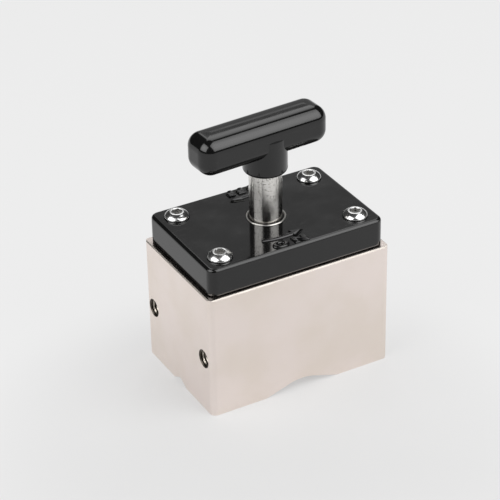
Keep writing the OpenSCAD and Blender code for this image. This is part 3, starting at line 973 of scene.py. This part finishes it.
@dataclass
class THandle:
    """The moulded T-handle: a bar with all edges round on a straight neck.

    The crowned top has a ring at each of crown_shares of the way out from its middle.
    """

    length: float = 50.3 * MM
    width: float = 14.4 * MM
    height: float = 14.0 * MM
    edge_radius: float = 4.85 * MM
    crown_deg: float = 8.0
    crown_shares: Sequence[float] = (0.02, 0.25, 0.5, 0.75)
    shift: float = -2.8 * MM
    turn_deg: float = 3.4
    steps: int = 24
    neck_radius: float = 7.8 * MM
    neck_edge: float = 1.2 * MM
    neck_columns: int = 128
    neck_sharp_deg: float = 40.0
    shaft_radius: float = 5.75 * MM
    shaft_gap: float = 0.08 * MM
    mouth_bevel: float = 0.3 * MM
    socket_depth: float = 2.9 * MM

    def build(self) -> None:
        """Make the bar and the neck, and dress the insert inside them."""
        dress(BRASS, "handle_insert")
        settle(self.bar(), "rotor", "black_plastic", "t_handle")
        settle(self.neck(), "rotor", "black_plastic")

    def bar(self) -> Piece:
        """The bar, as rounded rectangles stacked from its top to its bottom.

        At the slope p, crown_deg to 90 degrees, a ring lies edge_radius times cos(p) above the
        edges' centre line, and its corners have the radius edge_radius times sin(p). Inside the
        first of them the top is crowned: at the share s of the way out from the middle, the slope
        is s times crown_deg, and the height falls with the square of s. The lower half mirrors the
        upper one.

        Returns:
            The bar.
        """
        crown = math.radians(self.crown_deg)
        flat = self.width / 2 - self.edge_radius
        inner = np.array(self.crown_shares)
        edge = np.linspace(crown, np.pi / 2, self.steps)
        bulge = (flat + self.edge_radius * math.sin(crown)) * math.tan(crown) / 2
        brim = self.edge_radius * math.cos(crown)
        above = np.concatenate([brim + bulge * (1.0 - inner**2), self.edge_radius * np.cos(edge)])
        above += self.height / 2 - brim - bulge
        slope = np.concatenate([crown * inner, edge])
        corner = np.concatenate([inner * math.sin(crown), np.sin(edge)]) * self.edge_radius
        shrink = np.concatenate([flat * (1.0 - inner), np.zeros(self.steps)])
        mirrored = ((above, -above), (slope, np.pi - slope), (corner, corner), (shrink, shrink))
        level, lean, corner, shrink = (
            np.concatenate([upper, lower[::-1]])[:, None] for upper, lower in mirrored
        )
        quarter = np.radians(np.linspace(0.0, 90.0, self.steps))
        angle = np.concatenate([quarter + i * np.pi / 2 for i in range(4)])[None, :]
        side_x = np.repeat([1.0, -1.0, -1.0, 1.0], self.steps)[None, :]
        side_y = np.repeat([1.0, 1.0, -1.0, -1.0], self.steps)[None, :]
        reach = self.length / 2 - self.edge_radius - shrink
        rings = stack_points(
            self.shift + side_x * reach + np.cos(angle) * corner,
            side_y * (flat - shrink) + np.sin(angle) * corner,
            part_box("t_handle")[1].z - self.height / 2 + level,
        )
        facing = stack_points(
            np.cos(angle) * np.sin(lean), np.sin(angle) * np.sin(lean), np.cos(lean)
        )
        bar = closed_shell("handle_bar", turned(rings, self.turn_deg), MOULDING, ALL_SMOOTH_DEG)
        normals = turned(facing, self.turn_deg).reshape(-1, 3)
        poles = [[0.0, 0.0, 1.0], [0.0, 0.0, -1.0]]
        bar.data.normals_split_custom_set_from_vertices(normals.tolist() + poles)
        return bar

    def neck(self) -> Piece:
        """The neck, as circles from inside the bar down its side and up into the shaft's socket.

        Returns:
            The neck.
        """
        low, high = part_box("t_handle")
        inside = high.z - self.height / 2
        mouth = self.shaft_radius + self.shaft_gap
        ceiling = low.z + self.socket_depth
        edge_centre = (self.neck_radius - self.neck_edge, low.z + self.neck_edge)
        profile = np.concatenate(
            [
                [[CENTRE_SHARE * self.neck_radius, inside], [self.neck_radius, inside]],
                rounding(edge_centre, self.neck_edge),
                [[mouth + self.mouth_bevel, low.z], [mouth, low.z + self.mouth_bevel]],
                [[mouth, ceiling], [CENTRE_SHARE * mouth, ceiling]],
            ]
        )
        radius, height = profile[:, :1], profile[:, 1:]
        angle = circle(self.neck_columns)
        rings = stack_points(radius * np.cos(angle), radius * np.sin(angle), height)
        return closed_shell("handle_neck", rings, MOULDING, self.neck_sharp_deg)


@dataclass(frozen=True)
class PaleFloor(Finish):
    """Matt painted board that glows evenly in its far part: pale grey with a soft shadow.

    Over the distances limits from the point centre, which lies in front of the object, the glow
    grows from near_glow to far_glow, and its share of the light over glow_shares. The rest of the
    light is what the paint gets from the lamps.
    """

    name: str = "pale_painted_board"
    colour: str = "#c8c8c8"
    fresh: str = "#cacaca"
    drift_mm: float = 60.0
    near_glow: str = "#e7e7e7"
    far_glow: str = "#f0f0f0"
    glow_shares: Pair = (0.5, 0.9)
    centre: Triple = (-35.0 * MM, -60.0 * MM, 0.0)
    limits: Pair = (45.0 * MM, 125.0 * MM)

    def shade(self, skin: Skin) -> None:
        """Set the skin up: plain matt paint, and the glow mixed with it.

        Args:
            skin: the material's nodes.
        """
        faint = skin.spread(skin.cloud(self.drift_mm), NOISE_LIMITS)
        skin.give("Base Color", skin.blend(faint, self.colour, self.fresh))
        skin.give("Roughness", 0.9)
        skin.give("Specular IOR Level", 0.1)
        inputs = {0: skin.place, 1: self.centre}
        away = skin.add("ShaderNodeVectorMath", inputs, operation="DISTANCE").outputs["Value"]
        colour = skin.blend(skin.spread(away, self.limits), self.near_glow, self.far_glow)
        share = skin.spread(away, self.limits, self.glow_shares)
        glow = skin.add("ShaderNodeEmission", {"Color": colour}).outputs["Emission"]
        both = skin.add("ShaderNodeMixShader", {0: share, 1: skin.shader.outputs["BSDF"], 2: glow})
        out = next(node for node in skin.tree.nodes if node.type == "OUTPUT_MATERIAL")
        skin.feed(out.inputs["Surface"], both.outputs["Shader"])


def heading(azimuth_deg: float, rise_deg: float = 0.0) -> Vector:
    """Unit vector towards an azimuth, 0 to the front and 90 to the right, and an elevation.

    Args:
        azimuth_deg: the azimuth.
        rise_deg: the elevation.

    Returns:
        The vector.
    """
    azimuth, rise = math.radians(azimuth_deg), math.radians(rise_deg)
    level = math.cos(rise)
    return Vector((math.sin(azimuth) * level, -math.cos(azimuth) * level, math.sin(rise)))


@dataclass(frozen=True)
class Softbox:
    """A soft lamp aimed at the object, placed by its direction from the camera.

    reach_deg is half the angle that it fills sideways, and span_deg half of what it fills upwards.
    Its light falls by rim_loss over rim_limits, distances from its middle as shares of its sides.
    """

    name: str
    turn_deg: float
    rise_deg: float
    reach_deg: float
    span_deg: float
    radiance: float
    distance: float = 0.9
    rim_limits: Pair = (0.1, 0.6)
    rim_loss: float = 0.35

    def build(self, camera_deg: float, target: Vector) -> None:
        """Hang the lamp. Its power is its radiance times pi times its area.

        Args:
            camera_deg: azimuth of the camera.
            target: the point that the lamp faces.
        """
        lamp = bpy.data.lights.new(self.name, "AREA")
        lamp.shape = "RECTANGLE"
        lamp.size = 2 * self.distance * math.tan(math.radians(self.reach_deg))
        lamp.size_y = 2 * self.distance * math.tan(math.radians(self.span_deg))
        lamp.energy = self.radiance * math.pi * lamp.size * lamp.size_y
        self.fade(lamp)
        holder = add_object(self.name, lamp)
        towards = heading(camera_deg + self.turn_deg, self.rise_deg)
        holder.location = target + towards * self.distance
        holder.rotation_euler = towards.to_track_quat("Z", "Y").to_euler()
        holder.visible_camera = False
        log.info("hung %s", self.name)

    def fade(self, lamp: bpy.types.Light) -> None:
        """Let the light fall off from the lamp's middle to its rim.

        Args:
            lamp: the lamp.
        """
        lamp.use_nodes = True
        nodes = Nodes(lamp.node_tree)
        across = nodes.add("ShaderNodeNewGeometry").outputs["Parametric"]
        inputs = {0: across, 1: (0.5, 0.5, 0.0)}
        off = nodes.add("ShaderNodeVectorMath", inputs, operation="DISTANCE")
        strength = nodes.spread(off.outputs["Value"], self.rim_limits, (1.0, 1.0 - self.rim_loss))
        nodes.feed(nodes.tree.nodes["Emission"].inputs["Strength"], strength)


@dataclass
class Studio:
    """Camera, lamps, surroundings and floor, as the photograph has them.

    The backdrop's light changes over steps, each with its limits and its change: it rises for a
    low strip, falls back, rises for a bright panel, and ends at light_end. Those limits are sines
    of the elevation. side_end is how far a direction lies off the camera's upright plane, and
    ahead_start how far it lies ahead.
    """

    azimuth_deg: float = -28.745
    elevation_deg: float = 31.349
    roll_deg: float = -1.195
    aside: float = -6.495 * MM
    upward: float = 37.12 * MM
    distance: float = 727.573 * MM
    focal_pixels: float = 2024.639
    picture_pixels: int = 500
    sensor_mm: float = 36.0
    clip: Pair = (0.01, 50.0)
    lamp_target: Triple = (0.0, 0.0, 60.0 * MM)
    lamps: Sequence[Softbox] = (
        Softbox("softbox_right", 64.0, 43.5, 28.0, 31.5, 3.9),
        Softbox("softbox_left", -56.5, 36.5, 27.0, 23.5, 4.15),
    )
    room: float = 0.04
    backdrop: float = 0.34
    steps: Sequence[tuple[Pair, float]] = (
        ((0.395, 0.41), 0.5), ((0.465, 0.48), -0.5), ((0.575, 0.6), 1.66)
    )
    light_end: Pair = (0.87, 0.93)
    side_end: Pair = (0.2, 0.32)
    ahead_start: Pair = (0.0, 0.1)
    floor_half: float = 3.0

    def build(self) -> None:
        """Set up the whole studio."""
        self.camera()
        self.surroundings()
        self.floor()
        for lamp in self.lamps:
            lamp.build(self.azimuth_deg, Vector(self.lamp_target))
        bpy.context.scene.view_settings.view_transform = "Standard"

    def camera(self) -> None:
        """Put the camera where the photograph was taken from.

        It looks against the direction that azimuth and elevation give, moved aside and up in its
        own plane, and rolled about its own axis.
        """
        back = heading(self.azimuth_deg, self.elevation_deg)
        level = heading(self.azimuth_deg + 90.0)
        roll = math.radians(self.roll_deg)
        right = level * math.cos(roll) + back.cross(level) * math.sin(roll)
        up = back.cross(right)
        lens = bpy.data.cameras.new("photo_camera")
        lens.sensor_width = self.sensor_mm
        lens.lens = self.focal_pixels / self.picture_pixels * self.sensor_mm
        lens.clip_start, lens.clip_end = self.clip
        camera = add_object("photo_camera", lens)
        place = right * self.aside + up * self.upward + back * self.distance
        turn = Matrix((right, up, back)).transposed().to_4x4()
        camera.matrix_world = Matrix.Translation(place) @ turn
        bpy.context.scene.camera = camera

    def surroundings(self) -> None:
        """Make the room dark but for a backdrop behind the object."""
        world = bpy.data.worlds.new("studio_room")
        world.use_nodes = True
        nodes = Nodes(world.node_tree)
        nodes.tree.nodes.clear()
        direction = nodes.add("ShaderNodeTexCoord").outputs["Generated"]
        rise = nodes.add("ShaderNodeSeparateXYZ", {0: direction}).outputs["Z"]
        off, ahead = (
            nodes.add("ShaderNodeVectorMath", {0: direction, 1: way}, operation="DOT_PRODUCT")
            for way in (heading(self.azimuth_deg + 90.0), heading(self.azimuth_deg + 180.0))
        )
        off = nodes.add("ShaderNodeMath", {0: off.outputs["Value"]}, operation="ABSOLUTE")
        strength = self.backdrop
        for limits, change in self.steps:
            strength = nodes.changed(strength, nodes.spread(rise, limits), change)
        strength = nodes.product(
            strength,
            nodes.spread(rise, self.light_end, FALLING),
            nodes.spread(off.outputs[0], self.side_end, FALLING),
            nodes.spread(ahead.outputs["Value"], self.ahead_start),
        )
        total = nodes.add("ShaderNodeMath", {0: strength, 1: self.room}, operation="ADD")
        inputs = {"Color": (1.0, 1.0, 1.0, 1.0), "Strength": total.outputs[0]}
        glow = nodes.add("ShaderNodeBackground", inputs)
        nodes.add("ShaderNodeOutputWorld", {"Surface": glow.outputs[0]})
        bpy.context.scene.world = world

    def floor(self) -> None:
        """Lay a large pale floor under the object."""
        half = self.floor_half
        corners = [(-half, -half, 0.0), (half, -half, 0.0), (half, half, 0.0), (-half, half, 0.0)]
        mesh = bpy.data.meshes.new("studio_floor")
        mesh.from_pydata(corners, [], [(0, 1, 2, 3)])
        put_out(mesh, "studio_floor", PaleFloor(), SHARP_DEG)


def main() -> None:
    """Build the studio and dress the part, one sub-assembly after the other."""
    logging.basicConfig(level=logging.INFO, format="%(message)s")
    for assembly in (Studio(), HousingBlock(), MagnetStack(), Cover(), THandle()):
        assembly.build()


if __name__ == "__main__":
    main()
